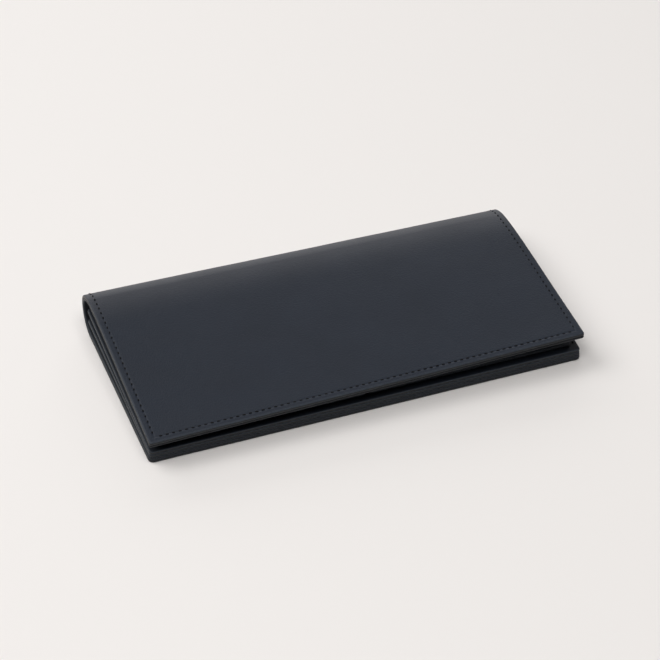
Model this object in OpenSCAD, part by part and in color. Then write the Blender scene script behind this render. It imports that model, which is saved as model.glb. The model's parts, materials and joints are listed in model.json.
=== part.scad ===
// Long wallet: one leather strip makes the back, the round spine and the cover.
// A zipped coin purse with card pockets is sewn to the back along the front
// edge, and its mouth faces the spine. Millimetres, +Z up, X along the length,
// spine at +Y. Origin: centre of the closed wallet's footprint, on its underside.

/* [Overall size] */
// Length of the leather strip along the spine
wallet_len = 190; // [150:1:230]
// Closed depth from the cover's front edge to the back of the spine
wallet_depth = 97; // [80:1:115]
// Outer radius of the round spine, half the closed height
spine_r = 10.2; // [9.6:0.1:13]
// Slope of the closed cover down to the front, degrees
cover_tilt = 3; // [2:0.5:4]

/* [Leather] */
// Thickness of the outer leather
leather_t = 1.7; // [1.4:0.1:1.9]
// Thickness of the lining leather
lining_t = 1.0; // [0.7:0.1:1.1]
// Plan radius of the outer corners
corner_r = 1; // [1:0.5:5]
// How far the cover reaches past the back at the front edge
cover_overhang = 1.8; // [0:0.1:4]
// Number of folds that stand in for the bending spine
fold_n = 3; // [3:1:3]

/* [Stitching] */
// Distance of the stitch line from the edge
stitch_inset = 2.8; // [2.4:0.1:4]
// Distance from one stitch to the next
stitch_pitch = 3.1; // [2.6:0.1:4]
// Thread radius
thread_r = 0.22; // [0.18:0.01:0.26]
// Width of the creased line the thread lies in
groove_w = 0.7; // [0.6:0.1:0.9]
// Depth of the creased line
groove_d = 0.45; // [0.4:0.05:0.55]

/* [Coin purse] */
// Thickness of each purse wall
wall_t = 1.4; // [1:0.1:1.5]
// Height of the bill compartment at its mouth
bill_gap = 3.1; // [2.9:0.1:3.9]
// Height of the coin compartment at its mouth
coin_gap = 4.6; // [4.5:0.1:5.2]
// How far the purse ends stand in from the ends of the wallet
purse_inset = 0.4; // [0.2:0.1:4]
// Distance from the spine's centre line to the purse mouth, towards the back
mouth_reach = 4; // [3.6:0.1:5]

/* [Card pockets] */
// Thickness of one pocket panel
pocket_t = 0.5; // [0.4:0.05:0.55]
// Step from one pocket mouth to the next
pocket_step = 13; // [9:0.5:14]
// How far the panels stop short of the front edge
pocket_front_in = 3.5; // [2:0.5:5]
// Bare leather between the spine and the first pocket mouth
pocket_start = 9; // [8:0.5:14]
// Gap between the two pocket columns
column_gap = 0.6; // [0.4:0.1:2]

/* [Zip] */
// How far the zip sits inside the purse mouth
zip_set = 4; // [3.8:0.1:4.4]
// Thickness of the woven tape
tape_t = 0.5; // [0.4:0.05:0.6]
// Thickness of a tooth, across the tape
tooth_t = 1.4; // [1.2:0.1:1.5]
// Distance from one tooth to the next
tooth_pitch = 1.6; // [1.5:0.1:2]
// Height of one tooth
tooth_h = 1.1; // [0.9:0.05:1.2]
// Length of the slider
slider_len = 7; // [6:0.5:8]
// Length of the pull tab from its bar
pull_len = 13; // [10:0.5:14]

/* [Hidden] */
half_l = wallet_len / 2;
front_y = -wallet_depth / 2;
back_front_y = front_y + cover_overhang;
spine_y = wallet_depth / 2 - spine_r;
skin_t = leather_t + lining_t;
fold_total = 180 + cover_tilt;
fold_step = fold_total / fold_n;
fold_gap = 0.15;
seam_gap = 0.15;
arc_fn = 96;
eps = 0.01;
cover_flat = (spine_y - front_y) / cos(cover_tilt)
           - spine_r * tan(cover_tilt);
back_flat = spine_y - back_front_y;
purse_len = wallet_len - 2 * purse_inset;
purse_front = back_front_y;
mouth_y = spine_y + mouth_reach;
purse_deep = mouth_y - purse_front;
lower_z = skin_t + seam_gap;
lower_slope = asin((bill_gap - seam_gap) / purse_deep);
upper_slope = lower_slope + asin(coin_gap / purse_deep);
upper_lift = wall_t;
side_t = 1.0;
zip_y = mouth_y - zip_set;
zip_run = zip_y - purse_front;
low_face_z = lower_z + wall_t + zip_run * tan(lower_slope);
up_face_z = lower_z + wall_t + zip_run * tan(upper_slope) - 0.05;
zip_z = (low_face_z + up_face_z) / 2;
zip_end_set = 7.2;
zip_half = purse_len / 2 - zip_end_set;
row_gap = 0.8;
slide_gap = 0.3;
wall_gap = 0.37;
slider_h = up_face_z - low_face_z - 2 * wall_gap;
plate_t = 0.7;
plate_in = tooth_t / 2 + slide_gap;
stop_w = 1.6;
slider_rest_x = zip_half - stop_w - slider_len / 2 - 0.6;
lug_gap = 1.5;
lug_t = 0.6;
bar_r = 0.45;
bar_y = zip_y + plate_in + plate_t + lug_gap / 2;
lug_half = 1.5;
pull_t = 0.8;
pull_w = 3.2;
pocket_margin = 3;
pocket_w = (purse_len - 2 * pocket_margin - column_gap) / 2;
stitch_len = stitch_pitch * 0.68;
leather_c = [0.19, 0.20, 0.23];
lining_c = [0.16, 0.17, 0.20];
thread_c = [0.10, 0.11, 0.15];
tape_c = [0.12, 0.13, 0.18];
metal_c = [0.72, 0.66, 0.50];

// A YZ profile drawn in the XY plane, extruded along X and centred on it.
module along_x(len) {
  rotate([90, 0, 90])
    linear_extrude(height = len, center = true)
      children();
}

// Moves children from the level cover's own frame to the closed, sloping cover.
module on_cover() {
  translate([0, spine_y, spine_r])
    rotate([cover_tilt, 0, 0])
      translate([0, -spine_y, -spine_r])
        children();
}

// Ring sector about the spine's centre; turn angle 0 is straight down, 90 is +Y.
module ring_sector(r_out, r_in, turn_a, turn_b) {
  reach = 2 * r_out;
  translate([spine_y, spine_r])
    intersection() {
      difference() {
        circle(r = r_out, $fn = arc_fn);
        circle(r = r_in, $fn = arc_fn);
      }
      polygon([
        [0, 0],
        reach * [sin(turn_a), -cos(turn_a)],
        reach * [sin(turn_b), -cos(turn_b)]
      ]);
    }
}

// Plan of a strip from y_a (front, round corners) to y_b (square end).
module strip_plan(len, y_a, y_b, r) {
  translate([-len / 2, y_a + r])
    square([len, y_b - y_a - r]);
  translate([-len / 2 + r, y_a])
    square([len - 2 * r, r + eps]);
  for (side = [-1, 1])
    translate([side * (len / 2 - r), y_a + r])
      circle(r = r, $fn = 48);
}

// Creased line on three sides of a flat panel, in plan.
module crease_plan(y_a, y_b) {
  for (side = [-1, 1])
    translate([side * (half_l - stitch_inset) - groove_w / 2, y_a + stitch_inset])
      square([groove_w, y_b - y_a - stitch_inset]);
  translate([-half_l + stitch_inset - groove_w / 2, y_a + stitch_inset - groove_w / 2])
    square([wallet_len - 2 * stitch_inset + groove_w, groove_w]);
}

// Creased ring round the spine at both ends, over one sector.
module crease_ring(turn_a, turn_b) {
  for (side = [-1, 1])
    translate([side * (half_l - stitch_inset), 0, 0])
      along_x(groove_w)
        ring_sector(spine_r + 1, spine_r - groove_d, turn_a, turn_b);
}

// One thread stitch lying along X or along Y, centred on the origin.
module stitch(along_y) {
  rotate(along_y ? [90, 0, 0] : [0, 90, 0])
    cylinder(r = thread_r, h = stitch_len, center = true, $fn = 6);
}

// Three-sided run of stitches at height z, from y_a at the front to y_b.
module stitch_run(len, y_a, y_b, z) {
  half = len / 2;
  n_x = floor((len - stitch_pitch) / stitch_pitch);
  n_y = floor((y_b - y_a - stitch_pitch) / stitch_pitch);
  for (i = [0 : n_x - 1])
    translate([(i - (n_x - 1) / 2) * stitch_pitch, y_a, z])
      stitch(false);
  for (side = [-1, 1])
    for (i = [0 : n_y - 1])
      translate([side * half, y_a + (i + 0.9) * stitch_pitch, z])
        stitch(true);
}

// Half of the first fold step, owned by the back and by the cover.
edge_turn = fold_step / 2;

module back_leather() {
  color(leather_c)
    difference() {
      union() {
        linear_extrude(height = leather_t)
          strip_plan(wallet_len, back_front_y, spine_y, corner_r);
        along_x(wallet_len)
          ring_sector(spine_r, spine_r - leather_t, 0, edge_turn - turn_gap(spine_r));
      }
      translate([0, 0, -1])
        linear_extrude(height = 1 + groove_d)
          crease_plan(back_front_y, spine_y);
      crease_ring(-1, edge_turn + 1);
    }
}

// Angle that a face stands back from its fold line, for a clear gap.
function turn_gap(r) = fold_gap / 2 / r * 180 / PI;

module back_lining() {
  color(lining_c) {
    translate([0, 0, leather_t])
      linear_extrude(height = lining_t)
        strip_plan(wallet_len, back_front_y, spine_y, corner_r);
    along_x(wallet_len)
      ring_sector(spine_r - leather_t, spine_r - skin_t, 0,
                  edge_turn - turn_gap(spine_r - leather_t));
  }
}

module back_stitches() {
  color(thread_c)
    stitch_run(wallet_len - 2 * stitch_inset, back_front_y + stitch_inset,
               spine_y, groove_d - thread_r);
}

module spine_leather(k) {
  turn_a = (k - 0.5) * fold_step + turn_gap(spine_r);
  turn_b = (k + 0.5) * fold_step - turn_gap(spine_r);
  color(leather_c)
    difference() {
      along_x(wallet_len)
        ring_sector(spine_r, spine_r - leather_t, turn_a, turn_b);
      crease_ring(turn_a - 1, turn_b + 1);
    }
}

module spine_lining(k) {
  gap = turn_gap(spine_r - leather_t);
  color(lining_c)
    along_x(wallet_len)
      ring_sector(spine_r - leather_t, spine_r - skin_t,
                  (k - 0.5) * fold_step + gap, (k + 0.5) * fold_step - gap);
}

// The cover is drawn level, its top at twice the spine radius, then tilted.
cover_front = spine_y - cover_flat;

module cover_leather() {
  top = 2 * spine_r;
  color(leather_c)
    on_cover()
      difference() {
        union() {
          translate([0, 0, top - leather_t])
            linear_extrude(height = leather_t)
              strip_plan(wallet_len, cover_front, spine_y, corner_r);
          along_x(wallet_len)
            ring_sector(spine_r, spine_r - leather_t,
                        180 - edge_turn + turn_gap(spine_r), 180);
        }
        translate([0, 0, top - groove_d])
          linear_extrude(height = 1 + groove_d)
            crease_plan(cover_front, spine_y);
        crease_ring(180 - edge_turn - 1, 181);
      }
}

module cover_lining() {
  color(lining_c)
    on_cover() {
      translate([0, 0, 2 * spine_r - skin_t])
        linear_extrude(height = lining_t)
          strip_plan(wallet_len, cover_front, spine_y, corner_r);
      along_x(wallet_len)
        ring_sector(spine_r - leather_t, spine_r - skin_t,
                    180 - edge_turn + turn_gap(spine_r - leather_t), 180);
    }
}

module cover_stitches() {
  color(thread_c)
    on_cover()
      stitch_run(wallet_len - 2 * stitch_inset, cover_front + stitch_inset,
                 spine_y, 2 * spine_r - groove_d + thread_r);
}

// One pocket panel in the level cover's frame; row 1 is nearest the lining.
module cover_pocket(side, row) {
  base = 2 * spine_r - skin_t - row * pocket_t;
  mouth = spine_y - pocket_start - (row - 1) * pocket_step;
  start = cover_front + pocket_front_in;
  x_mid = side * (pocket_w + column_gap) / 2;
  color(leather_c)
    on_cover()
      translate([x_mid - pocket_w / 2, start, base])
        cube([pocket_w, mouth - start, pocket_t]);
}

// Triangular side panel between two sloping sheets, seen along X.
module side_web(z_a, z_b, z_c, y_a, y_b) {
  along_x(side_t)
    polygon([[y_a, z_a], [y_b, z_b], [y_b, z_c]]);
}

module gusset(side) {
  y_b = mouth_y - 3;
  run = y_b - purse_front;
  y_a = purse_front + 12;
  color(lining_c)
    translate([side * (purse_len / 2 - 2), 0, 0])
      along_x(0.7)
        polygon([
          [y_a, skin_t],
          [y_b, skin_t],
          [y_b, lower_z + run * tan(lower_slope)],
          [y_a, lower_z + 12 * tan(lower_slope)]
        ]);
}

// Sheet that starts at the purse's front edge and rises towards the mouth.
module purse_sheet(x_mid, wide, z, slope, y_from, y_to, thick) {
  translate([x_mid, purse_front, z])
    rotate([slope, 0, 0])
      translate([-wide / 2, y_from, 0])
        cube([wide, y_to - y_from, thick]);
}

module purse_lower_wall() {
  color(leather_c)
    purse_sheet(0, purse_len, lower_z, lower_slope, 0,
                purse_deep / cos(lower_slope), wall_t);
}

// The upper wall starts on the lower wall's top face at the sewn edge.
upper_y = wall_t * sin(upper_slope);
module purse_upper_wall() {
  color(leather_c)
    purse_sheet(0, purse_len, lower_z + upper_lift, upper_slope, upper_y,
                purse_deep / cos(upper_slope) - 0.4, wall_t);
}

module purse_side(side) {
  y_a = purse_front + 10;
  y_b = mouth_y - 3;
  low_a = lower_z + wall_t / cos(lower_slope) + 10 * tan(lower_slope);
  low_b = lower_z + wall_t / cos(lower_slope)
        + (y_b - purse_front) * tan(lower_slope);
  up_a = lower_z + upper_lift + 10 * tan(upper_slope);
  up_b = lower_z + upper_lift + (y_b - purse_front) * tan(upper_slope);
  color(lining_c)
    translate([side * (purse_len / 2 - 2), 0, 0])
      along_x(side_t)
        polygon([[y_a, low_a], [y_b, low_b], [y_b, up_b], [y_a, up_a]]);
}

// One pocket panel on the purse's upper wall; row 1 lies on the wall.
module purse_pocket(side, row) {
  mouth = purse_deep - pocket_start - 4 - (row - 1) * pocket_step;
  x_mid = side * (pocket_w + column_gap) / 2;
  color(leather_c)
    translate([0, purse_front, lower_z + upper_lift])
      rotate([upper_slope, 0, 0])
        translate([x_mid - pocket_w / 2, pocket_front_in,
                   wall_t + (row - 1) * pocket_t])
          cube([pocket_w, mouth - pocket_front_in, pocket_t]);
}

// Stitches lie on the margins left bare at both ends of the purse.
module purse_stitches() {
  n_y = floor((purse_deep - 12) / stitch_pitch);
  color(thread_c)
    translate([0, purse_front, lower_z + upper_lift])
      rotate([upper_slope, 0, 0])
        for (side = [-1, 1])
          for (i = [0 : n_y - 1])
            translate([side * (purse_len / 2 - 1.5), 5 + i * stitch_pitch,
                       wall_t + thread_r * cos(30)])
              stitch(true);
}

// Woven tape from a purse wall's inner face to the teeth, dir -1 low, 1 high.
module zip_tape(dir) {
  face = dir < 0 ? low_face_z + 0.12 : up_face_z - 0.12;
  inner = zip_z + dir * (row_gap / 2 + tooth_h - 0.3);
  low = min(face, inner);
  color(tape_c)
    translate([-zip_half, zip_y - tape_t / 2, low])
      cube([2 * zip_half, tape_t, abs(face - inner)]);
}

// Row of teeth that grips the tape's edge, dir -1 low, 1 high.
module zip_teeth(dir) {
  n = floor((2 * zip_half - 2 * stop_w - 2) / tooth_pitch);
  z_mid = zip_z + dir * (row_gap + tooth_h) / 2;
  color(metal_c)
    difference() {
      for (i = [0 : n - 1])
        translate([(i - (n - 1) / 2) * tooth_pitch + dir * tooth_pitch / 4,
                   zip_y, z_mid])
          cube([tooth_pitch * 0.55, tooth_t, tooth_h], center = true);
      translate([-zip_half - 1, zip_y - tape_t / 2,
                 zip_z + dir * (row_gap / 2 + tooth_h - 0.15) - 0.15])
        cube([2 * zip_half + 2, tape_t, 0.3]);
    }
}

// Small metal clamp across both tapes at one end of the zip.
module zip_stop(side) {
  color(metal_c)
    difference() {
      translate([side * (zip_half - stop_w / 2), zip_y, zip_z])
        cube([stop_w, tooth_t, row_gap + 2 * tooth_h], center = true);
      for (dir = [-1, 1])
        translate([side * (zip_half - stop_w / 2), zip_y,
                   zip_z + dir * (row_gap / 2 + tooth_h - 0.15)])
          cube([stop_w + 1, tape_t, 0.3], center = true);
    }
}

// Two plates joined through the gap between the rows, with a lug for the pull.
module zip_slider() {
  outer = plate_in + plate_t;
  color(metal_c)
    translate([slider_rest_x, zip_y, zip_z]) {
      for (face = [-1, 1])
        translate([0, face * (plate_in + plate_t / 2), 0])
          cube([slider_len, plate_t, slider_h], center = true);
      cube([2.4, 2 * plate_in + eps, row_gap - 2 * 0.2], center = true);
      for (end = [-1, 1])
        translate([end * (lug_half - lug_t / 2), outer + lug_gap / 2, 0])
          cube([lug_t, lug_gap + eps, 1.0], center = true);
      translate([0, outer + lug_gap + lug_t / 2, 0])
        cube([2 * lug_half, lug_t, 1.0], center = true);
    }
}

// Flat tab with a window for the lug and a round bar that turns inside it.
module zip_pull() {
  color(metal_c)
    translate([slider_rest_x, bar_y, zip_z]) {
      cylinder(r = bar_r, h = pull_w, center = true, $fn = 32);
      difference() {
        translate([-pull_len, -pull_t / 2, -pull_w / 2])
          cube([pull_len, pull_t, pull_w]);
        translate([-lug_half - 0.5, -pull_t, -0.85])
          cube([lug_half + 0.5 + 1, 2 * pull_t, 1.7]);
        translate([-pull_len + 2.2, 0, 0])
          rotate([90, 0, 0])
            cylinder(r = 0.8, h = 3, center = true, $fn = 32);
      }
    }
}

back_leather();
back_lining();
back_stitches();
spine_leather(1);  // spine_leather_1
spine_leather(2);  // spine_leather_2
spine_lining(1);  // spine_lining_1
spine_lining(2);  // spine_lining_2
cover_leather();
cover_lining();
cover_stitches();
cover_pocket(-1, 1);  // cover_pocket_left_1
cover_pocket(-1, 2);  // cover_pocket_left_2
cover_pocket(-1, 3);  // cover_pocket_left_3
cover_pocket(-1, 4);  // cover_pocket_left_4
cover_pocket(1, 1);  // cover_pocket_right_1
cover_pocket(1, 2);  // cover_pocket_right_2
cover_pocket(1, 3);  // cover_pocket_right_3
cover_pocket(1, 4);  // cover_pocket_right_4
gusset(-1);  // gusset_left
gusset(1);  // gusset_right
purse_lower_wall();
purse_upper_wall();
purse_side(-1);  // purse_side_left
purse_side(1);  // purse_side_right
purse_pocket(-1, 1);  // purse_pocket_left_1
purse_pocket(-1, 2);  // purse_pocket_left_2
purse_pocket(-1, 3);  // purse_pocket_left_3
purse_pocket(1, 1);  // purse_pocket_right_1
purse_pocket(1, 2);  // purse_pocket_right_2
purse_pocket(1, 3);  // purse_pocket_right_3
purse_stitches();
zip_tape(-1);  // zip_tape_lower
zip_tape(1);  // zip_tape_upper
zip_teeth(-1);  // zip_teeth_lower
zip_teeth(1);  // zip_teeth_upper
zip_stop(-1);  // zip_stop_left
zip_stop(1);  // zip_stop_right
zip_slider();
zip_pull();
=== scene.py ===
"""Long wallet: a folded leather strip with a round spine, and a zipped purse inside."""

import json
import math
import random

import bpy
from mathutils import Matrix, Vector, noise


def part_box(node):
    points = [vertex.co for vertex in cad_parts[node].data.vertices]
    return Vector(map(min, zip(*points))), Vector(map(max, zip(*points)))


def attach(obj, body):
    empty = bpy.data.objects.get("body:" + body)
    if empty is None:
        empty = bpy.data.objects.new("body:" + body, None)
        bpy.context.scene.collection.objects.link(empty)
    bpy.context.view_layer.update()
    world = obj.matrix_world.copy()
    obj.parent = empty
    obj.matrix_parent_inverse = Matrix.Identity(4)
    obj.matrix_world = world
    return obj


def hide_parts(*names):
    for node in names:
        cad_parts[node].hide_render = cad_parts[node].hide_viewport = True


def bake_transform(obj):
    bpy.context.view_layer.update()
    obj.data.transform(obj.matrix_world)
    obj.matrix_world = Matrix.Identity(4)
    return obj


bl_info = {
    "name": "Long Wallet",
    "version": (1, 0, 0),
    "blender": (4, 5, 0),
    "location": "3D View > Sidebar > Long Wallet",
    "description": "Builds a long leather wallet piece by piece",
    "category": "Object",
}

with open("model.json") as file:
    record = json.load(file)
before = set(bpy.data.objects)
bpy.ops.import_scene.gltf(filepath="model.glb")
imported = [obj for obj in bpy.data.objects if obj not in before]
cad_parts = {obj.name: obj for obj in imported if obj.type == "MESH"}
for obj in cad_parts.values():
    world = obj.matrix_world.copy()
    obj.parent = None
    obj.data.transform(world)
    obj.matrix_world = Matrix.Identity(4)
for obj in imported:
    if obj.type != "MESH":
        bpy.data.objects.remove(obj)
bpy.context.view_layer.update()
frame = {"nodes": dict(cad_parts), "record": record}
record = frame["record"]
joints = {j["name"]: j for j in record["behaviour"]["joints"]}
MM = 0.001


# ---------------------------------------------------------------- the CAD's own sizes

def circle_through(a, b, c):
    """Centre and radius, in YZ, of the circle through three points."""
    d = 2 * (a[0] * (b[1] - c[1]) + b[0] * (c[1] - a[1]) + c[0] * (a[1] - b[1]))
    sq = [p[0] ** 2 + p[1] ** 2 for p in (a, b, c)]
    y = (sq[0] * (b[1] - c[1]) + sq[1] * (c[1] - a[1]) + sq[2] * (a[1] - b[1])) / d
    z = (sq[0] * (c[0] - b[0]) + sq[1] * (a[0] - c[0]) + sq[2] * (b[0] - a[0])) / d
    return y, z, math.hypot(a[0] - y, a[1] - z)


fold_points = [joints[f"fold_{k}"]["pos_m"][1:] for k in (1, 2, 3)]
SPINE_Y, SPINE_Z, SPINE_R = circle_through(*fold_points)
FOLD = math.radians(joints["fold_1"]["range_deg"][1])
TURN = 3 * FOLD
TILT = TURN - math.pi
HALF_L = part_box("cover_leather")[1].x
BACK_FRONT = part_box("back_leather")[0].y
LEATHER_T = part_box("back_lining")[0].z
SKIN_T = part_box("gusset_left")[0].z
LINING_T = SKIN_T - LEATHER_T
S_ARC = SPINE_Y - BACK_FRONT
S_COVER = S_ARC + SPINE_R * TURN
COVER_FLAT = (
    SPINE_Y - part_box("cover_leather")[0].y - SPINE_R * math.sin(TILT)
) / math.cos(TILT)
S_END = S_COVER + COVER_FLAT


# ---------------------------------------------------------------- settings

def length(name, text, default):
    return bpy.props.FloatProperty(
        name=name, description=text, default=default, unit="LENGTH", precision=5
    )


def angle(name, text, degrees):
    return bpy.props.FloatProperty(
        name=name, description=text, default=math.radians(degrees), subtype="ANGLE"
    )


def number(name, text, default):
    return bpy.props.FloatProperty(name=name, description=text, default=default)


def linear(code):
    """An sRGB hex colour as linear RGBA."""
    parts = [int(code[i : i + 2], 16) / 255 for i in (1, 3, 5)]
    return [
        p / 12.92 if p <= 0.04045 else ((p + 0.055) / 1.055) ** 2.4 for p in parts
    ] + [1.0]


def colour(name, text, code):
    return bpy.props.FloatVectorProperty(
        name=name, description=text, default=linear(code), size=4,
        subtype="COLOR", min=0, max=1,
    )


class WalletSizes(bpy.types.PropertyGroup):
    cover_corner: length("Cover corner radius", "At the cover's front", 0.8 * MM)
    back_corner: length("Back corner radius", "At the back's front", 2.2 * MM)
    edge_r: length("Edge rounding", "Rounding of a burnished cut edge", 0.42 * MM)
    crease_in: length("Crease inset", "Distance of the crease from the edge", 2.8 * MM)
    crease_w: length("Crease width", "Width of the creased line", 0.4 * MM)
    crease_d: length("Crease depth", "Depth of the creased line", 0.12 * MM)
    stitch_pitch: length("Stitch pitch", "One stitch to the next", 3.1 * MM)
    front_pitch: length("Front stitch pitch", "Along the front edges", 2.72 * MM)
    thread_r: length("Thread radius", "Radius of the waxed thread", 0.33 * MM)
    spine_left: number("Spine height, left", "Height against the round spine", 1.114)
    spine_right: number("Spine height, right", "Height against the round spine", 0.906)
    sag_left: angle("Cover sag, left", "Extra slope of the cover at the left", 3.74)
    sag_right: angle("Cover sag, right", "Extra slope of the cover at the right", -1.06)
    shoulder_left: length("Shoulder, left", "Drop from cover to spine", 1.5 * MM)
    shoulder_right: length("Shoulder, right", "Drop from cover to spine", 1.64 * MM)
    shoulder_run: length("Shoulder run", "How softly the shoulder fades", 9.0 * MM)
    ripple: length("Ripple", "Height of the slow waves in the leather", 0.16 * MM)


class WalletColours(bpy.types.PropertyGroup):
    leather: colour("Leather", "Navy-black face of the waxed leather", "#131b28")
    leather_worn: colour("Leather, rubbed", "Rubbed rims of the cut edges", "#394049")
    # painted highlight: a paler colour painted round the spine in place of the light
    # the leather catches there
    spine_highlight_paint: colour("Bent leather", "Waxed leather where it bends", "#3a3b41")
    edge: colour("Cut edge", "Burnished cut edge", "#0e1218")
    lining: colour("Lining", "Matte lining leather", "#12161c")
    panel: colour("Inner panels", "Leather of the pockets and purse", "#161b23")
    thread: colour("Thread", "Waxed linen thread", "#06070a")
    tape: colour("Zip tape", "Woven zip tape", "#151824")
    metal: colour("Zip metal", "Satin brass of the zip", "#b99b5e")
    floor: colour("Floor", "Plain pale floor", "#ede9e6")


class StudioSettings(bpy.types.PropertyGroup):
    camera_turn: angle("Camera turn", "How far round to the left it stands", 20.226)
    camera_drop: angle("Camera drop", "How far it looks down", 39.289)
    camera_x: length("Camera X", "Camera place", -0.3044)
    camera_y: length("Camera Y", "Camera place", -0.8251)
    camera_z: length("Camera Z", "Camera place", 0.7265)
    lens: number("Lens", "Focal length in millimetres", 146.56)


sizes = None
colours = None
studio = None


# ---------------------------------------------------------------- leather shapes

def smooth(t):
    t = min(max(t, 0.0), 1.0)
    return t * t * (3 - 2 * t)


def strip_point(s, h):
    """Y, Z and turn of the strip at s along it, h outside its outer face."""
    if s <= S_ARC:
        return BACK_FRONT + s, -h, 0.0
    if s <= S_COVER:
        turn = (s - S_ARC) / SPINE_R
        r = SPINE_R + h
        return SPINE_Y + r * math.sin(turn), SPINE_Z - r * math.cos(turn), turn
    run = s - S_COVER
    r = SPINE_R + h
    y = SPINE_Y + r * math.sin(TURN) + run * math.cos(TURN)
    z = SPINE_Z - r * math.cos(TURN) + run * math.sin(TURN)
    return y, z, TURN


def settle(x, y, z, turn):
    """The leather's own lie.

    The spine is pressed flatter to the right, the cover twists, and a soft shoulder
    leads from the spine on to the flat of the cover.
    """
    across = (x + HALF_L) / (2 * HALF_L)
    press = sizes.spine_left + (sizes.spine_right - sizes.spine_left) * across - 1
    sag = sizes.sag_left + (sizes.sag_right - sizes.sag_left) * across
    low = sizes.shoulder_left + (sizes.shoulder_right - sizes.shoulder_left) * across
    bent = smooth((turn - math.pi / 2) / (math.pi / 2))
    lean = sag * bent
    dy, dz = y - SPINE_Y, z - SPINE_Z
    y = SPINE_Y + dy * math.cos(lean) - dz * math.sin(lean)
    z = SPINE_Z + dy * math.sin(lean) + dz * math.cos(lean)
    z += press * SPINE_R * (1 - math.cos(min(turn, math.pi)))
    run = (SPINE_Y - y) / sizes.shoulder_run
    z -= low * bent * (math.exp(-run) if run > 0 else 1 - run)
    return Vector((x, y, z))


def on_strip(x, s, h):
    y, z, turn = strip_point(s, h)
    return settle(x, y, z, turn)


def cover_place(y, z):
    """Distance along the strip and height of a point on the level of the cover."""
    oy, oz, _ = strip_point(S_COVER, 0)
    dy, dz = y - oy, z - oz
    along = dy * math.cos(TURN) + dz * math.sin(TURN)
    out = dy * math.sin(TURN) - dz * math.cos(TURN)
    return S_COVER + along, out


SLOPE_ROUNDS = 20


def sloping_plate(stands, thick):
    """Front lower corner (y, z), slope, length and x range of the plate in a box."""
    lo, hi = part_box(stands)
    dy, dz = hi.y - lo.y, hi.z - lo.z
    slope = 0.0
    for _ in range(SLOPE_ROUNDS):
        slope = math.atan2(dz - thick * math.cos(slope), dy - thick * math.sin(slope))
    run = (dy - thick * math.sin(slope)) / math.cos(slope)
    return (lo.y + thick * math.sin(slope), lo.z), slope, run, (lo.x, hi.x)


# distances of grid lines from a finished end, in millimetres
EDGE_LINES = [
    0, 0.03, 0.1, 0.2, 0.32, 0.5, 0.85, 1.35, 1.9, 2.2, 2.4, 2.55, 2.65, 2.74,
    2.8, 2.86, 2.95, 3.05, 3.2, 3.4, 3.7, 4.3, 5.5, 8, 12,
]
PLAIN_LINES = [
    0, 0.03, 0.1, 0.2, 0.35, 0.6, 1.0, 1.3, 1.5, 1.6, 1.7, 1.9, 2.3, 3.2, 6,
]
TAPE_LINES_X = [0, 0.1, 0.3]
TAPE_LINES_Z = [0, 0.05, 0.15]
OUTER_GRID = 4 * MM
LINING_GRID = 5 * MM
PANEL_GRID = 6 * MM
TAPE_GRID_X = 3 * MM
TAPE_GRID_Z = 0.2 * MM


def lines(a, b, start, end, step):
    """Grid lines from a to b, close together at each finished end."""
    middle = (a + b) / 2
    near = [a + d * MM for d in start or () if a + d * MM < middle]
    far = [b - d * MM for d in end or () if b - d * MM > middle]
    lo, hi = max(near, default=a), min(far, default=b)
    n = max(1, round((hi - lo) / step))
    even = [lo + (hi - lo) * i / n for i in range(n + 1)]
    return sorted({round(x, 7) for x in [a, b, *near, *far, *even]})


def rounded(u, v, us, vs, starts, r):
    """Pulls a grid point near a finished corner onto a round corner."""
    for cu, side_u in ((us[0], 1), (us[-1], -1)):
        for cv, side_v, on in ((vs[0], 1, starts[0]), (vs[-1], -1, starts[1])):
            a = 1 - (u - cu) * side_u / r
            b = 1 - (v - cv) * side_v / r
            if on and a > 0 and b > 0:
                k = max(a, b) / math.hypot(a, b)
                u, v = cu + side_u * r * (1 - a * k), cv + side_v * r * (1 - b * k)
                return u, v
    return u, v


WAVES_ALONG = 34
WAVES_ACROSS = 42
WAVE_SLICE = 3.1
BELLY = 0.1 * MM
BELLY_PART = 0.08
# where the rings of a cut edge lie, from its face down, and how far each one bulges
EDGE_RINGS = ((0.25, 0.8), (0.5, 1.0), (0.75, 0.8))


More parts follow.
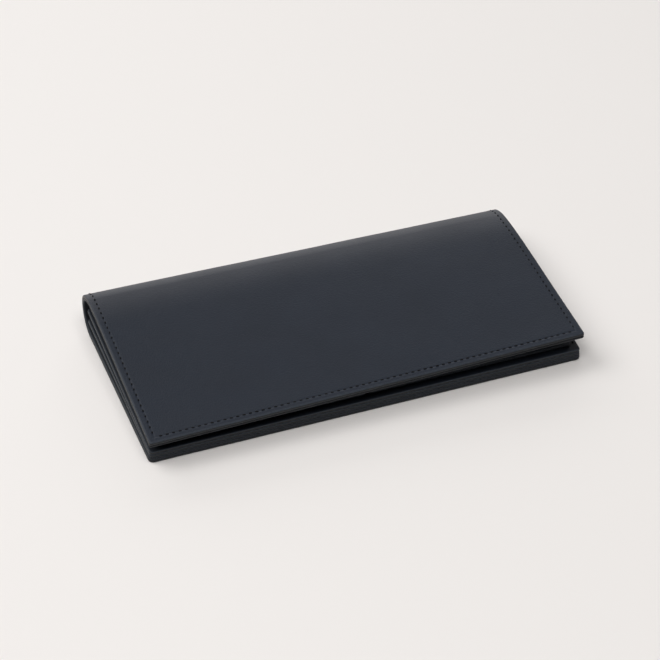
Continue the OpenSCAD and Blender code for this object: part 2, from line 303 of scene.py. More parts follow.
def leather_piece(name, us, vs, place, thick, ends=(True, True), corner=0.0,
                  edge_r=None, groove=None, wave=0.0, mats=()):
    """A sheet with rounded cut edges. place(u, v, h) puts it, h is above its face.

    ends says whether the first and last lines of vs are finished edges.
    """
    edge_r = min(edge_r if edge_r is not None else sizes.edge_r, thick * 0.45)
    nu, nv = len(us), len(vs)
    verts, uvs, far = [], [], []

    def distance(u, v):
        d = min(u - us[0], us[-1] - u)
        if ends[0]:
            d = min(d, v - vs[0])
        if ends[1]:
            d = min(d, vs[-1] - v)
        return d

    def drop(d):
        if d >= edge_r:
            return 0.0
        return edge_r - math.sqrt(max(0.0, edge_r ** 2 - (edge_r - d) ** 2))

    def add(u, v, h, d, out=0.0):
        pu, pv = rounded(u, v, us, vs, ends, corner) if corner else (u, v)
        if out:
            if u in (us[0], us[-1]):
                pu += out if u == us[-1] else -out
            if ends[0] and v == vs[0]:
                pv -= out
            if ends[1] and v == vs[-1]:
                pv += out
        verts.append(place(pu, pv, h))
        uvs.append((pu, pv))
        far.append(d)
        return len(verts) - 1

    def swell(u, v):
        if not wave:
            return 0.0
        spot = Vector((u * WAVES_ALONG, v * WAVES_ACROSS, WAVE_SLICE))
        return wave * noise.noise(spot)

    top, low = {}, {}
    for j, v in enumerate(vs):
        for i, u in enumerate(us):
            d = distance(u, v)
            cut = groove(u, v, d) if groove else 0.0
            h = swell(u, v)
            top[i, j] = add(u, v, h - drop(d) - cut, d)
            low[i, j] = add(u, v, h - thick + drop(d), d)
    faces, kinds = [], []
    for j in range(nv - 1):
        for i in range(nu - 1):
            faces.append((top[i, j], top[i + 1, j], top[i + 1, j + 1], top[i, j + 1]))
            kinds.append(0)
            faces.append((low[i, j], low[i, j + 1], low[i + 1, j + 1], low[i + 1, j]))
            kinds.append(2)
    # the rim runs once round the sheet, and None breaks it at an unfinished end
    rim = []
    if ends[0]:
        rim += [(i, 0) for i in range(nu - 1)]
    rim += [(nu - 1, j) for j in range(nv - 1)]
    if ends[1]:
        rim += [(nu - 1, nv - 1)] + [(i, nv - 1) for i in range(nu - 2, 0, -1)]
    else:
        rim += [(nu - 1, nv - 1), None]
    rim += [(0, j) for j in range(nv - 1, 0, -1)]
    rim += [(0, 0)]
    if not ends[0]:
        rim += [None]
    belly = min(BELLY, thick * BELLY_PART)
    rings = {}
    for key in rim:
        if key is None or key in rings:
            continue
        u, v = us[key[0]], vs[key[1]]
        h = swell(u, v)
        mids = [
            add(u, v, h - edge_r - (thick - 2 * edge_r) * f, -1.0, belly * b)
            for f, b in EDGE_RINGS
        ]
        rings[key] = [top[key], *mids, low[key]]
    for a, b in zip(rim, rim[1:] + rim[:1]):
        if a is None or b is None:
            continue
        for k in range(len(EDGE_RINGS) + 1):
            faces.append((rings[a][k], rings[a][k + 1], rings[b][k + 1], rings[b][k]))
            kinds.append(1)
    # all faces are turned over if the one in the middle looks inwards
    u, v = us[nu // 2], vs[nv // 2]
    out = place(u, v, MM) - place(u, v, 0)
    a, b, c = (verts[k] for k in faces[(nv // 2) * 2 * (nu - 1) + nu // 2 * 2][:3])
    if (b - a).cross(c - a).dot(out) < 0:
        faces = [tuple(reversed(f)) for f in faces]
    return make(name, verts, faces, mats, kinds, uvs, far)


UV_PER_M = 10


def make(name, verts, faces, mats, kinds=None, uvs=None, far=None):
    """Makes a smooth mesh object. kinds picks each face's material from mats."""
    mesh = bpy.data.meshes.new(name)
    mesh.from_pydata([tuple(v) for v in verts], [], faces)
    for m in mats:
        mesh.materials.append(m)
    if kinds:
        top_kind = len(mats) - 1
        mesh.polygons.foreach_set("material_index", [min(k, top_kind) for k in kinds])
    if uvs:
        layer = mesh.uv_layers.new(name="flat")
        for loop in mesh.loops:
            layer.data[loop.index].uv = [c * UV_PER_M for c in uvs[loop.vertex_index]]
    if far:
        mesh.attributes.new("from_edge", "FLOAT", "POINT").data.foreach_set(
            "value", [d / MM for d in far]
        )
    mesh.polygons.foreach_set("use_smooth", [True] * len(mesh.polygons))
    mesh.validate()
    mesh.update()
    obj = bpy.data.objects.new(name, mesh)
    bpy.context.scene.collection.objects.link(obj)
    return obj


# the pressed line pushes up a low ridge on each side, measured in crease widths
RIDGE_HEIGHT = 0.12
RIDGE_OFF = 1.9
RIDGE_W = 0.8


def crease(u, v, d):
    """Depth of the creased line that the thread lies in."""
    off = (d - sizes.crease_in) / sizes.crease_w
    ridge = RIDGE_HEIGHT * math.exp(-((abs(off) - RIDGE_OFF) / RIDGE_W) ** 2)
    return sizes.crease_d * (math.exp(-off * off) - ridge)


FRONT_STITCH = 1.55 * MM
SIDE_STITCH = 1.35 * MM
STITCH_SLANT = 0.10 * MM
SLANT_SPREAD = 0.03 * MM
RISE_LOW, RISE_HIGH = -0.02 * MM, 0.03 * MM
STITCH_DIP = 0.42 * MM
STITCH_TAPER = 0.35
STITCH_TWIST = 0.06
TWIST_TURNS = 11
STITCH_FLATNESS = 0.85


def thread_run(name, spots, mats, seed):
    """Stitches as short bent threads.

    Each spot is a centre, a direction, a normal and half the stitch's length.
    """
    rand = random.Random(seed)
    verts, faces, uvs = [], [], []
    r = sizes.thread_r
    sides, rings = 8, 9
    for centre, along, up, half in spots:
        across = along.cross(up).normalized()
        slant = STITCH_SLANT + rand.uniform(-SLANT_SPREAD, SLANT_SPREAD)
        rise = rand.uniform(RISE_LOW, RISE_HIGH)
        base = len(verts)
        for i in range(rings):
            t = i / (rings - 1) * 2 - 1
            dip = -STITCH_DIP * abs(t) ** 5
            mid = centre + along * (half * t) + across * (slant * t) + up * (rise + dip)
            width = r * (1 - STITCH_TAPER * abs(t) ** 6)
            width *= 1 + STITCH_TWIST * math.cos(t * TWIST_TURNS)
            for k in range(sides):
                a = 2 * math.pi * k / sides
                verts.append(mid + across * (width * math.cos(a))
                             + up * (width * STITCH_FLATNESS * math.sin(a)))
                uvs.append((t * half, a * r))
        for i in range(rings - 1):
            for k in range(sides):
                n = (k + 1) % sides
                a, b = base + i * sides, base + (i + 1) * sides
                faces.append((a + k, a + n, b + n, b + k))
        last = base + (rings - 1) * sides
        faces.append(tuple(base + k for k in reversed(range(sides))))
        faces.append(tuple(last + k for k in range(sides)))
    obj = make(name, verts, faces, mats, uvs=uvs)
    return obj


def stitch_spot(place, u, v, lift, along_u=False):
    """One stitch on a face, along u or v: centre, direction, normal and half length."""
    p = place(u, v, lift)
    ahead = place(u + MM, v, lift) if along_u else place(u, v + MM, lift)
    up = (place(u, v, lift + MM) - p).normalized()
    half = (FRONT_STITCH if along_u else SIDE_STITCH) / 2
    return p, (ahead - p).normalized(), up, half


THREAD_SUNK = 0.1


def strip_spot(u, v, along_u):
    """One stitch in the creased line of the strip."""
    lift = sizes.thread_r * THREAD_SUNK - sizes.crease_d
    return stitch_spot(on_strip, u, v, lift, along_u)


def front_row(x_half, v):
    """Stitches along one front edge."""
    n = round(2 * x_half / sizes.front_pitch) - 1
    step = 2 * x_half / (n + 1)
    return [strip_spot((i - (n - 1) / 2) * step, v, True) for i in range(n)]


FIRST_SIDE_STITCH = 0.9


def side_rows(x_half, v_start, v_stop, low, high):
    """Stitches up both sides, counted from v_start, where they lie from low to high."""
    step = sizes.stitch_pitch if v_stop > v_start else -sizes.stitch_pitch
    places = [v_start + (i + FIRST_SIDE_STITCH) * step
              for i in range(int((v_stop - v_start) / step))]
    return [strip_spot(side * x_half, v, False)
            for side in (-1, 1) for v in places if low <= v < high]


# ---------------------------------------------------------------- materials

def node(tree, kind, settings=None, stops=(), **sockets):
    """Adds a node. Keywords fill its sockets, and an output given makes a link."""
    made = tree.nodes.new(kind)
    for key, value in (settings or {}).items():
        setattr(made, key, value)
    for place, value in stops:
        ends = made.color_ramp.elements
        stop = ends[0] if place == stops[0][0] else \
            ends[-1] if place == stops[-1][0] else ends.new(place)
        stop.position = place
        stop.color = value
    for key, value in sockets.items():
        name = key.replace("_", " ")
        slot = made.inputs[int(name[2:])] if name[:2] == "in" and name[2:].isdigit() \
            else made.inputs[name]
        if isinstance(value, bpy.types.NodeSocket):
            tree.links.new(value, slot)
        else:
            slot.default_value = value
    return made


def new_material(name):
    """An empty material and its node tree."""
    mat = bpy.data.materials.new(name)
    mat.use_nodes = True
    mat.node_tree.nodes.clear()
    return mat, mat.node_tree


def surface(tree, **sockets):
    """Joins a Principled shader with these sockets to the material's output."""
    shader = node(tree, "ShaderNodeBsdfPrincipled", **sockets)
    node(tree, "ShaderNodeOutputMaterial", Surface=shader.outputs[0])


def flat_mm(tree):
    """Coordinates on the flat leather, in millimetres."""
    uv = node(tree, "ShaderNodeUVMap", {"uv_map": "flat"})
    return node(
        tree, "ShaderNodeVectorMath", {"operation": "SCALE"},
        Vector=uv.outputs[0], Scale=1000 / UV_PER_M,
    ).outputs[0]


def shade(rgba, k):
    """A colour made lighter or darker."""
    return [v * k for v in rgba[:3]] + [1.0]


# how strongly the spine's highlight is painted, and over which stretch of the strip in
# millimetres
HIGHLIGHT_PAINT_MOST = 0.6
HIGHLIGHT_PAINT_RISE_MM = 8.0
HIGHLIGHT_PAINT_BEFORE_FLAT_MM = 6.0
HIGHLIGHT_PAINT_PAST_FLAT_MM = 19.0


def paint_spine_highlight(tree, mm, body, pale):
    """Painted highlight: the leather's colour is painted paler round the spine and just
    past it.
    """
    along = node(tree, "ShaderNodeSeparateXYZ", Vector=mm).outputs[1]
    smoothly = {"interpolation_type": "SMOOTHSTEP"}
    arc, flat = S_ARC / MM, S_COVER / MM
    rise = node(tree, "ShaderNodeMapRange", smoothly, in0=along, in1=arc,
                in2=arc + HIGHLIGHT_PAINT_RISE_MM, in3=0.0, in4=HIGHLIGHT_PAINT_MOST).outputs[0]
    fall = node(tree, "ShaderNodeMapRange", smoothly, in0=along,
                in1=flat - HIGHLIGHT_PAINT_BEFORE_FLAT_MM, in2=flat + HIGHLIGHT_PAINT_PAST_FLAT_MM,
                in3=1.0, in4=0.0).outputs[0]
    highlight_amount = node(tree, "ShaderNodeMath", {"operation": "MULTIPLY"},
                  in0=rise, in1=fall).outputs[0]
    return node(tree, "ShaderNodeMix", {"data_type": "RGBA"}, in0=highlight_amount, in6=body,
                in7=pale).outputs[2]


def diagonal_bands(mm_apart):
    """Scale at which a wave texture's diagonal bands are that far apart."""
    return 2 * math.pi / 10 / math.sqrt(2) / mm_apart


TWIST_MM = 0.404
# real ribs are 0.4 mm apart, drawn wider so that they show
RIB_MM = 0.555
# streaks and scuffs lie just over a millimetre apart
STREAKS_PER_MM = 0.9
SCUFFS_PER_M = 900.0
CLOUD_MM = 22
FLECK_MM = 0.9
# real pores are about 0.2 mm apart, drawn at 0.7 mm so that they show
PORE_MM = 0.7
CRACK_MM = 1.3


def leather_material(name, base, worn, rough, grain, patch, pale=None):
    """Dyed leather: faint clouding, pebbled grain, rubbed cut edges, and with pale a
    highlight painted round the spine.
    """
    mat, tree = new_material(name)
    mm = flat_mm(tree)
    cloud = node(tree, "ShaderNodeTexNoise", Vector=mm, Scale=1 / CLOUD_MM, Detail=3.0,
                 Roughness=0.5).outputs[0]
    fleck = node(tree, "ShaderNodeTexNoise", Vector=mm, Scale=1 / FLECK_MM, Detail=4.0,
                 Roughness=0.6).outputs[0]
    pebble = node(tree, "ShaderNodeTexVoronoi", {"feature": "SMOOTH_F1"},
                  Vector=mm, Scale=1 / PORE_MM, Smoothness=0.6,
                  Randomness=0.95).outputs["Distance"]
    crack = node(tree, "ShaderNodeTexVoronoi", {"feature": "DISTANCE_TO_EDGE"},
                 Vector=mm, Scale=1 / CRACK_MM, Randomness=1.0).outputs["Distance"]
    tone = node(tree, "ShaderNodeMath", {"operation": "MULTIPLY_ADD"},
                in0=fleck, in1=0.45, in2=cloud).outputs[0]
    body = node(tree, "ShaderNodeValToRGB", Fac=tone, stops=(
        (0.45, shade(base, 1 - patch)), (0.72, base), (1.0, shade(base, 1 + patch)),
    )).outputs[0]
    far = node(tree, "ShaderNodeAttribute", {"attribute_name": "from_edge"})
    near = node(tree, "ShaderNodeMapRange", in0=far.outputs["Fac"],
                in1=0.1, in2=0.9, in3=1.0, in4=0.0).outputs[0]
    rub = node(tree, "ShaderNodeMath", {"operation": "MULTIPLY"},
               in0=near, in1=fleck).outputs[0]
    body = node(tree, "ShaderNodeMix", {"data_type": "RGBA"}, in0=rub, in6=body,
                in7=worn).outputs[2]
    # painted highlight round the spine, in the colour pale
    if pale:
        body = paint_spine_highlight(tree, mm, body, pale)
    gloss = node(tree, "ShaderNodeMapRange", in0=tone, in1=0.4, in2=1.0,
                 in3=rough + 0.04, in4=rough - 0.04).outputs[0]
    fold = node(tree, "ShaderNodeMapRange", in0=crack, in1=0.0, in2=0.15).outputs[0]
    relief = node(tree, "ShaderNodeMath", {"operation": "MULTIPLY_ADD"},
                  in0=pebble, in1=-1.2, in2=fold).outputs[0]
    relief = node(tree, "ShaderNodeMath", {"operation": "MULTIPLY_ADD"},
                  in0=fleck, in1=0.8, in2=relief).outputs[0]
    bump = node(tree, "ShaderNodeBump", Strength=grain, Distance=0.05 * MM,
                Height=relief).outputs[0]
    surface(tree, Base_Color=body, Roughness=gloss, IOR=1.4, Normal=bump)
    return mat


def waxed_bridle_leather():
    """Outer leather: deep navy-black, with a dull glow where it turns away and a
    highlight painted on round the spine.
    """
    return leather_material(
        "waxed_bridle_leather", colours.leather, colours.leather_worn, 0.54, 0.6, 0.08,
        colours.spine_highlight_paint,
    )


def matte_lining_leather():
    """Pigskin lining: split and dyed through, so matte and darker than the face."""
    return leather_material(
        "matte_lining_leather", colours.lining, colours.leather_worn, 0.62, 0.5, 0.12
    )


def smooth_calf_leather():
    """Thin calf panels: plated smooth, so a touch glossier than the lining."""
    return leather_material(
        "smooth_calf_leather", colours.panel, colours.leather_worn, 0.5, 0.3, 0.09
    )


def burnished_leather_edge():
    """Cut edge: rubbed with wax until dense and a little glossy, with faint layers."""
    mat, tree = new_material("burnished_leather_edge")
    streak = node(tree, "ShaderNodeTexNoise", Vector=flat_mm(tree),
                  Scale=STREAKS_PER_MM, Detail=6.0, Roughness=0.7).outputs[0]
    dark, rubbed = shade(colours.edge, 0.8), shade(colours.leather_worn, 0.7)
    body = node(tree, "ShaderNodeValToRGB", Fac=streak, stops=(
        (0.3, dark), (0.6, colours.edge), (0.95, rubbed),
    )).outputs[0]
    bump = node(tree, "ShaderNodeBump", Strength=0.5, Distance=0.06 * MM,
                Height=streak).outputs[0]
    surface(tree, Base_Color=body, Roughness=0.42, IOR=1.4, Normal=bump)
    return mat


def waxed_linen_thread():
    """Sewing thread: twisted strands under wax, which catch a little light."""
    mat, tree = new_material("waxed_linen_thread")
    twist = node(tree, "ShaderNodeTexWave", {"bands_direction": "DIAGONAL"},
                 Vector=flat_mm(tree), Scale=diagonal_bands(TWIST_MM),
                 Distortion=0.6).outputs["Fac"]
    body = node(tree, "ShaderNodeValToRGB", Fac=twist, stops=(
        (0.2, shade(colours.thread, 0.6)), (0.8, colours.thread),
    )).outputs[0]
    bump = node(tree, "ShaderNodeBump", Strength=0.6, Distance=0.08 * MM,
                Height=twist).outputs[0]
    surface(tree, Base_Color=body, Roughness=0.8, Specular_IOR_Level=0.25, Normal=bump)
    return mat


def woven_polyester_tape():
    """Zip tape: a fine diagonal rib, woven and dull."""
    mat, tree = new_material("woven_polyester_tape")
    weave = node(tree, "ShaderNodeTexWave", {"bands_direction": "DIAGONAL"},
                 Vector=flat_mm(tree), Scale=diagonal_bands(RIB_MM), Distortion=0.3,
                 Detail=2.0).outputs["Fac"]
    body = node(tree, "ShaderNodeValToRGB", Fac=weave, stops=(
        (0.1, shade(colours.tape, 0.5)), (0.9, colours.tape),
    )).outputs[0]
    bump = node(tree, "ShaderNodeBump", Strength=0.8, Distance=0.1 * MM,
                Height=weave).outputs[0]
    surface(tree, Base_Color=body, Roughness=0.85, Normal=bump)
    return mat


def satin_brass():
    """Zip metal: rolled brass, tumbled and faintly scuffed."""
    mat, tree = new_material("satin_brass")
    spot = node(tree, "ShaderNodeTexCoord").outputs["Object"]
    scuff = node(tree, "ShaderNodeTexNoise", Vector=spot, Scale=SCUFFS_PER_M,
                 Detail=5.0, Roughness=0.7).outputs[0]
    body = node(tree, "ShaderNodeValToRGB", Fac=scuff, stops=(
        (0.3, shade(colours.metal, 0.75)), (0.7, colours.metal),
    )).outputs[0]
    rough = node(tree, "ShaderNodeMapRange", in0=scuff, in1=0.3, in2=0.7, in3=0.42,
                 in4=0.28).outputs[0]
    bump = node(tree, "ShaderNodeBump", Strength=0.2, Distance=0.03 * MM,
                Height=scuff).outputs[0]
    surface(tree, Base_Color=body, Roughness=rough, Metallic=1.0, Normal=bump)
    return mat


def matte_paper_floor():
    """Studio floor: plain pale paper, matte."""
    mat, tree = new_material("matte_paper_floor")
    surface(tree, Base_Color=colours.floor, Roughness=0.9, Specular_IOR_Level=0.15)
    return mat


materials = {}


def make_materials():
    materials.update(
        face=waxed_bridle_leather(),
        edge=burnished_leather_edge(),
        lining=matte_lining_leather(),
        panel=smooth_calf_leather(),
        thread=waxed_linen_thread(),
        tape=woven_polyester_tape(),
        metal=satin_brass(),
        floor=matte_paper_floor(),
    )


# ---------------------------------------------------------------- operators

FOLD_S = [S_ARC, S_ARC + SPINE_R * FOLD, S_ARC + SPINE_R * 2 * FOLD, S_COVER]
ARC_STEPS = 26
HAIR = 0.02 * MM


def arc_lines(a, b):
    """Lines round one fold, with a hair-thin first and last ring."""
    inner = [a + (b - a) * i / ARC_STEPS for i in range(1, ARC_STEPS)]
    return [a, a + HAIR, *inner, b - HAIR, b]


def strip_lines():
    """Lines along the strip for its three pieces: back, spine and cover."""
    flat_back = lines(0, S_ARC, EDGE_LINES, None, OUTER_GRID)[:-1]
    flat_cover = lines(S_COVER, S_END, None, EDGE_LINES, OUTER_GRID)[1:]
    return [
        flat_back + arc_lines(FOLD_S[0], FOLD_S[1]),
        arc_lines(FOLD_S[1], FOLD_S[2]),
        arc_lines(FOLD_S[2], FOLD_S[3]) + flat_cover,
    ]


def bend_over(obj, k):
    """Bakes a piece's placement into its mesh; the two ends of fold k are found but not
    used.
    """
    ends = [strip_point(s, 0) for s in (FOLD_S[k], FOLD_S[k + 1])]
    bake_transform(obj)


def build_strip(layer, slot, us, place, thick, finishes, **look):
    """Builds a layer of the strip as three pieces, each bent over one fold."""
    stands = (
        [f"back_{layer}"],
        [f"spine_{layer}_1", f"spine_{layer}_2"],
        [f"cover_{layer}"],
    )
    for k, (part, vs) in enumerate(zip(("back", "spine", "cover"), strip_lines())):
        obj = leather_piece(
            f"{layer}_{part}", us, vs, place, thick, ends=(k == 0, k == 2),
            corner=sizes.back_corner if k == 0 else sizes.cover_corner,
            mats=[materials[finish] for finish in finishes], **look,
        )
        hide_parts(*stands[k])
        bend_over(obj, k)


class WALLET_OT_outer_strip(bpy.types.Operator):
    """Builds the outer leather: back, round spine and cover"""
    bl_idname = "wallet.outer_strip"
    bl_label = "Outer Leather"

    def execute(self, context):
        us = lines(-HALF_L, HALF_L, EDGE_LINES, EDGE_LINES, OUTER_GRID)
        build_strip("leather", "outer_leather", us, on_strip, LEATHER_T,
                    ("face", "edge", "lining"), groove=crease, wave=sizes.ripple)
        return {"FINISHED"}


LINING_EDGE_R = 0.3 * MM


class WALLET_OT_lining(bpy.types.Operator):
    """Builds the lining behind the outer leather"""
    bl_idname = "wallet.lining"
    bl_label = "Lining"

    def execute(self, context):
        us = lines(-HALF_L, HALF_L, PLAIN_LINES, PLAIN_LINES, LINING_GRID)

        def place(u, v, h):
            return on_strip(u, v, -SKIN_T - h)

        build_strip("lining", "lining_leather", us, place, LINING_T,
                    ("lining", "edge", "edge"), edge_r=LINING_EDGE_R)
        return {"FINISHED"}


class WALLET_OT_stitches(bpy.types.Operator):
    """Sews the fronts of back and cover, and the sides up over the spine"""
    bl_idname = "wallet.stitches"
    bl_label = "Stitches"

    def execute(self, context):
        inset = sizes.crease_in
        x_half, v_cover = HALF_L - inset, S_END - inset
        thread = [materials["thread"]]
        spots = front_row(x_half, inset) + side_rows(x_half, inset, S_ARC, 0, S_ARC)
        obj = thread_run("thread_back", spots, thread, 12)
        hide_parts("back_stitches")
        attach(obj, "back")
        for k, (low, high) in enumerate(zip(FOLD_S, FOLD_S[1:])):
            spots = side_rows(x_half, v_cover, S_ARC, low, high)
            bend_over(thread_run(f"thread_spine_{k + 1}", spots, thread, 14 + k), k)
        spots = front_row(x_half, v_cover)
        spots += side_rows(x_half, v_cover, S_ARC, S_COVER, S_END)
        obj = thread_run("thread_cover", spots, thread, 11)
        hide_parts("cover_stitches")
        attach(obj, "cover")
        return {"FINISHED"}


POCKET_T = 0.5 * MM
WALL_T = 1.4 * MM
PANEL_CORNER = 1.5 * MM
POCKET_EDGE_R = 0.2 * MM
WALL_EDGE_R = 0.35 * MM
MOUTH_LINE_IN = 1.6 * MM
MOUTH_LINE_W = 0.22 * MM
MOUTH_LINE_D = 0.12 * MM


def mouth_crease(v_mouth):
    """A thin decorative line pressed along a pocket's mouth."""
    def depth(u, v, d):
        off = (abs(v - v_mouth) - MOUTH_LINE_IN) / MOUTH_LINE_W
        return MOUTH_LINE_D * math.exp(-off * off)
    return depth


def build_panel(name, stands, body, x_range, v_range, place, thick, mouth, edge_r):
    """Builds an inner panel. mouth is 0 or -1, the line of its open end."""
    us = lines(*x_range, PLAIN_LINES, PLAIN_LINES, PANEL_GRID)
    vs = lines(*v_range, PLAIN_LINES, PLAIN_LINES, PANEL_GRID)
    obj = leather_piece(
        name, us, vs, place, thick, corner=PANEL_CORNER, edge_r=edge_r,
        groove=mouth_crease(vs[mouth]),
        mats=[materials[finish] for finish in ("panel", "edge", "lining")],
    )
    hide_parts(stands)
    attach(obj, body)


class WALLET_OT_cover_pockets(bpy.types.Operator):
    """Builds the card pockets inside the cover"""
    bl_idname = "wallet.cover_pockets"
    bl_label = "Cover Card Pockets"

    def execute(self, context):
        words = [f"{side}_{row}" for side in ("left", "right") for row in (1, 2, 3, 4)]
        for word in words:
            stands = f"cover_pocket_{word}"
            corner, _, run, x_range = sloping_plate(stands, POCKET_T)
            s_front, h_low = cover_place(*corner)

            def place(u, v, h, h_low=h_low):
                return on_strip(u, v, h_low - h)

            build_panel(f"card_pocket_{word}", stands, "cover", x_range,
                        (s_front - run, s_front), place, POCKET_T, 0, POCKET_EDGE_R)
        return {"FINISHED"}


def plate_place(corner, slope, thick):
    """Puts a point on a plate that rises from its front lower corner."""
    cos, sin = math.cos(slope), math.sin(slope)

    def place(u, v, h):
        up = thick + h
        y, z = corner
        return Vector((u, y + v * cos - up * sin, z + v * sin + up * cos))
    return place


PURSE_STITCH_IN = 1.5 * MM
PURSE_STITCH_END = 5 * MM
PURSE_THREAD_OUT = 0.35


class WALLET_OT_purse(bpy.types.Operator):
    """Builds the coin purse walls, their card pockets and stitches"""
    bl_idname = "wallet.purse"
    bl_label = "Coin Purse"

    def execute(self, context):
        walls = ["lower_wall", "upper_wall"]
        pockets = [f"pocket_{side}_{row}"
                   for side in ("left", "right") for row in (1, 2, 3)]
        for word in walls + pockets:
            thick, edge_r = (WALL_T, WALL_EDGE_R) if word in walls \
                else (POCKET_T, POCKET_EDGE_R)
            corner, slope, run, x_range = sloping_plate(f"purse_{word}", thick)
            build_panel(f"purse_leather_{word}", f"purse_{word}", "purse", x_range,
                        (0, run), plate_place(corner, slope, thick), thick, -1, edge_r)
        corner, slope, run, (x0, x1) = sloping_plate("purse_upper_wall", WALL_T)
        place = plate_place(corner, slope, WALL_T)
        lift = sizes.thread_r * PURSE_THREAD_OUT
        n = int((run - 2 * PURSE_STITCH_END) / sizes.stitch_pitch)
        spots = [
            stitch_spot(place, x, PURSE_STITCH_END + i * sizes.stitch_pitch, lift)
            for x in (x0 + PURSE_STITCH_IN, x1 - PURSE_STITCH_IN) for i in range(n)
        ]
        obj = thread_run("thread_purse", spots, [materials["thread"]], 13)
        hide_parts("purse_stitches")
        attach(obj, "purse")
        return {"FINISHED"}


WEB_T = 0.35 * MM
WEB_ROWS = 9
WEB_COLS = 7
FOLD_SHARP = 0.65
WEB_FULL_H = 3 * MM


def folded_web(name, side, x_out, y0, y1, low, high, deep, mats):
    """A thin end web folded inwards between two heights that depend on y."""
    rows, cols = WEB_ROWS, WEB_COLS
    verts, faces, uvs = [], [], []
    for skin in (0, 1):
        for j in range(cols):
            y = y0 + (y1 - y0) * j / (cols - 1)
            z0, z1 = low(y), high(y)
            for i in range(rows):
                f = i / (rows - 1)
                fold = 1 - abs(2 * f - 1)
                inward = deep * (smooth(fold) * (1 - FOLD_SHARP) + fold * FOLD_SHARP)
                inward *= smooth((z1 - z0) / WEB_FULL_H)
                x = side * (x_out - inward - skin * WEB_T)
                verts.append(Vector((x, y, z0 + (z1 - z0) * f)))
                uvs.append((y, f * (z1 - z0) + inward))

    def at(skin, i, j):
        return (skin * cols + j) * rows + i

    for j in range(cols - 1):
        for i in range(rows - 1):
            faces.append((at(0, i, j), at(0, i, j + 1), at(0, i + 1, j + 1),
                          at(0, i + 1, j)))
            faces.append((at(1, i, j), at(1, i + 1, j), at(1, i + 1, j + 1),
                          at(1, i, j + 1)))
    for j in range(cols - 1):
        for i in (0, rows - 1):
            faces.append((at(0, i, j), at(1, i, j), at(1, i, j + 1), at(0, i, j + 1)))
    for i in range(rows - 1):
        for j in (0, cols - 1):
            faces.append((at(0, i, j), at(0, i + 1, j), at(1, i + 1, j), at(1, i, j)))
    return make(name, verts, faces, mats, uvs=uvs)


GUSSET_PARTS = 5
GUSSET_LAP = 0.8 * MM
GUSSET_FOLD = 3.2 * MM
PURSE_WEB_FOLD = 2.6 * MM


class WALLET_OT_webs(bpy.types.Operator):
    """Builds the folded gussets of the bill compartment and the purse's end webs"""
    bl_idname = "wallet.webs"
    bl_label = "Gussets"

    def execute(self, context):
        corner, slope, _, _ = sloping_plate("purse_lower_wall", WALL_T)
        upper, upper_slope, _, _ = sloping_plate("purse_upper_wall", WALL_T)

        def under(y):
            return corner[1] + (y - corner[0]) * math.tan(slope)

        def over(y):
            return under(y) + WALL_T / math.cos(slope)

        def ceiling(y):
            return upper[1] + (y - upper[0]) * math.tan(upper_slope)

        mats = [materials["lining"]]
        for side, word in ((-1, "left"), (1, "right")):
            lo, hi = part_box(f"gusset_{word}")
            x_out = abs(hi.x if side > 0 else lo.x)
            cuts = [lo.y + (hi.y - lo.y) * k / GUSSET_PARTS
                    for k in range(GUSSET_PARTS + 1)]
            for k, (y0, y1) in enumerate(zip(cuts, cuts[1:])):
                # neighbours lap over each other, so that no slit opens between them
                obj = folded_web(
                    f"gusset_{word}_{k + 1}", side, x_out,
                    y0 - (GUSSET_LAP if k > 0 else 0),
                    y1 + (GUSSET_LAP if k < GUSSET_PARTS - 1 else 0),
                    lambda y: SKIN_T, under, GUSSET_FOLD, mats,
                )
                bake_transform(obj)
                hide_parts(f"gusset_{word}")
            lo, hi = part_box(f"purse_side_{word}")
            x_out = abs(hi.x if side > 0 else lo.x)
            obj = folded_web(f"purse_web_{word}", side, x_out, lo.y, hi.y, over,
                             ceiling, PURSE_WEB_FOLD, mats)
            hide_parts(f"purse_side_{word}")
            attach(obj, "purse")
        return {"FINISHED"}


TAPE_EDGE_R = 0.12 * MM
ZIP_METAL = (
    "zip_teeth_lower", "zip_teeth_upper", "zip_stop_left", "zip_stop_right",
    "zip_slider", "zip_pull",
)


class WALLET_OT_zip(bpy.types.Operator):
    """Builds the zip's woven tapes and finishes its metal"""
    bl_idname = "wallet.zip"
    bl_label = "Zip"

    def execute(self, context):
        for word in ("lower", "upper"):
            stands = f"zip_tape_{word}"
            lo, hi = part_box(stands)
            us = lines(lo.x, hi.x, TAPE_LINES_X, TAPE_LINES_X, TAPE_GRID_X)
            vs = lines(lo.z, hi.z, TAPE_LINES_Z, TAPE_LINES_Z, TAPE_GRID_Z)

            def place(u, v, h, y=hi.y):
                return Vector((u, y + h, v))

            obj = leather_piece(
                f"tape_{word}", us, vs, place, hi.y - lo.y, edge_r=TAPE_EDGE_R,
                mats=[materials["tape"]],
            )
            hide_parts(stands)
            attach(obj, "purse")
        for name in ZIP_METAL:
            for slot in frame["nodes"][name].material_slots:
                slot.material = materials["metal"]
        return {"FINISHED"}


FLOOR_HALF = 3.0
AIR_LIGHT = 0.06
# name, place, width and height in metres, and power in watts; all face the wallet
SOFTBOXES = (
    ("overhead_softbox", (-0.1, 0.45, 2.2), (2.0, 1.6), 3.0),
    ("back_softbox", (0.2, 2.2, 0.7), (3.6, 1.4), 26.5),
    ("window_softbox", (-1.3, 0.9, 1.9), (1.6, 1.6), 30.0),
    ("front_softbox", (-0.3, -0.9, 2.3), (1.8, 1.4), 36.0),
)


def lay_floor():
    corners = [(x * FLOOR_HALF, y * FLOOR_HALF, 0)
               for x, y in ((-1, -1), (1, -1), (1, 1), (-1, 1))]
    floor = make("studio_floor", corners, [(0, 1, 2, 3)], [materials["floor"]])


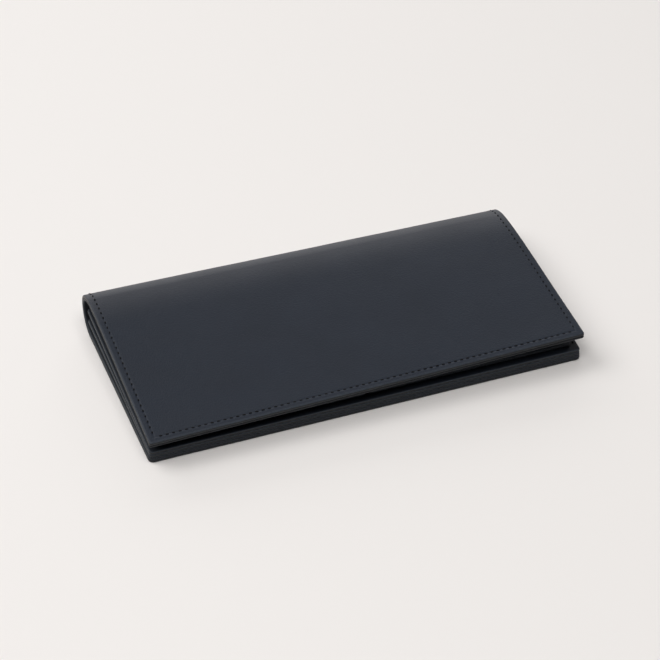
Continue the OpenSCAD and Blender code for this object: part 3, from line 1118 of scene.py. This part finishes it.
def light_scene(scene):
    world = bpy.data.worlds.new("studio_air")
    scene.world = world
    world.use_nodes = True
    air = world.node_tree.nodes["Background"]
    air.inputs["Color"].default_value = linear("#ffffff")
    air.inputs["Strength"].default_value = AIR_LIGHT
    for name, place, spread, power in SOFTBOXES:
        data = bpy.data.lights.new(name, "AREA")
        data.shape = "RECTANGLE"
        data.size, data.size_y = spread
        data.energy = power
        light = bpy.data.objects.new(name, data)
        light.location = place
        light.rotation_euler = (-Vector(place)).to_track_quat("-Z", "Y").to_euler()
        scene.collection.objects.link(light)


def stand_camera(scene):
    drop, turn = studio.camera_drop, studio.camera_turn
    ahead = Vector((
        math.sin(turn) * math.cos(drop),
        math.cos(turn) * math.cos(drop),
        -math.sin(drop),
    ))
    right = Vector((math.cos(turn), -math.sin(turn), 0))
    up = right.cross(ahead)
    data = bpy.data.cameras.new("studio_camera")
    data.sensor_width = 36
    data.lens = studio.lens
    data.clip_start, data.clip_end = 0.05, 20
    camera = bpy.data.objects.new("studio_camera", data)
    camera.matrix_world = Matrix((
        (right.x, up.x, -ahead.x, studio.camera_x),
        (right.y, up.y, -ahead.y, studio.camera_y),
        (right.z, up.z, -ahead.z, studio.camera_z),
        (0, 0, 0, 1),
    ))
    scene.collection.objects.link(camera)
    scene.camera = camera


class WALLET_OT_studio(bpy.types.Operator):
    """Sets the pale floor, the soft lights and the camera"""
    bl_idname = "wallet.studio"
    bl_label = "Studio"

    def execute(self, context):
        scene = bpy.context.scene
        lay_floor()
        light_scene(scene)
        stand_camera(scene)
        scene.view_settings.view_transform = "Standard"
        return {"FINISHED"}


OPERATORS = (
    WALLET_OT_outer_strip, WALLET_OT_lining, WALLET_OT_stitches,
    WALLET_OT_cover_pockets, WALLET_OT_purse, WALLET_OT_webs, WALLET_OT_zip,
    WALLET_OT_studio,
)


class WALLET_PT_builder(bpy.types.Panel):
    bl_idname = "WALLET_PT_builder"
    bl_label = "Long Wallet"
    bl_space_type = "VIEW_3D"
    bl_region_type = "UI"
    bl_category = "Long Wallet"

    def draw(self, context):
        for group in ("wallet_sizes", "wallet_colours", "wallet_studio"):
            box = self.layout.box()
            settings = getattr(context.scene, group)
            for key in settings.bl_rna.properties.keys():
                if key not in ("rna_type", "name"):
                    box.prop(settings, key)
        for operator in OPERATORS:
            self.layout.operator(operator.bl_idname)


GROUPS = (
    ("wallet_sizes", WalletSizes),
    ("wallet_colours", WalletColours),
    ("wallet_studio", StudioSettings),
)
CLASSES = tuple(g for _, g in GROUPS) + OPERATORS + (WALLET_PT_builder,)


def register():
    for cls in CLASSES:
        bpy.utils.register_class(cls)
    for name, group in GROUPS:
        setattr(bpy.types.Scene, name, bpy.props.PointerProperty(type=group))


def unregister():
    for name, _ in GROUPS:
        delattr(bpy.types.Scene, name)
    for cls in reversed(CLASSES):
        bpy.utils.unregister_class(cls)


def main():
    global sizes, colours, studio
    register()
    scene = bpy.context.scene
    sizes, colours, studio = (getattr(scene, name) for name, _ in GROUPS)
    make_materials()
    for operator in OPERATORS:
        group, name = operator.bl_idname.split(".")
        getattr(getattr(bpy.ops, group), name)()


if __name__ == "__main__":
    main()
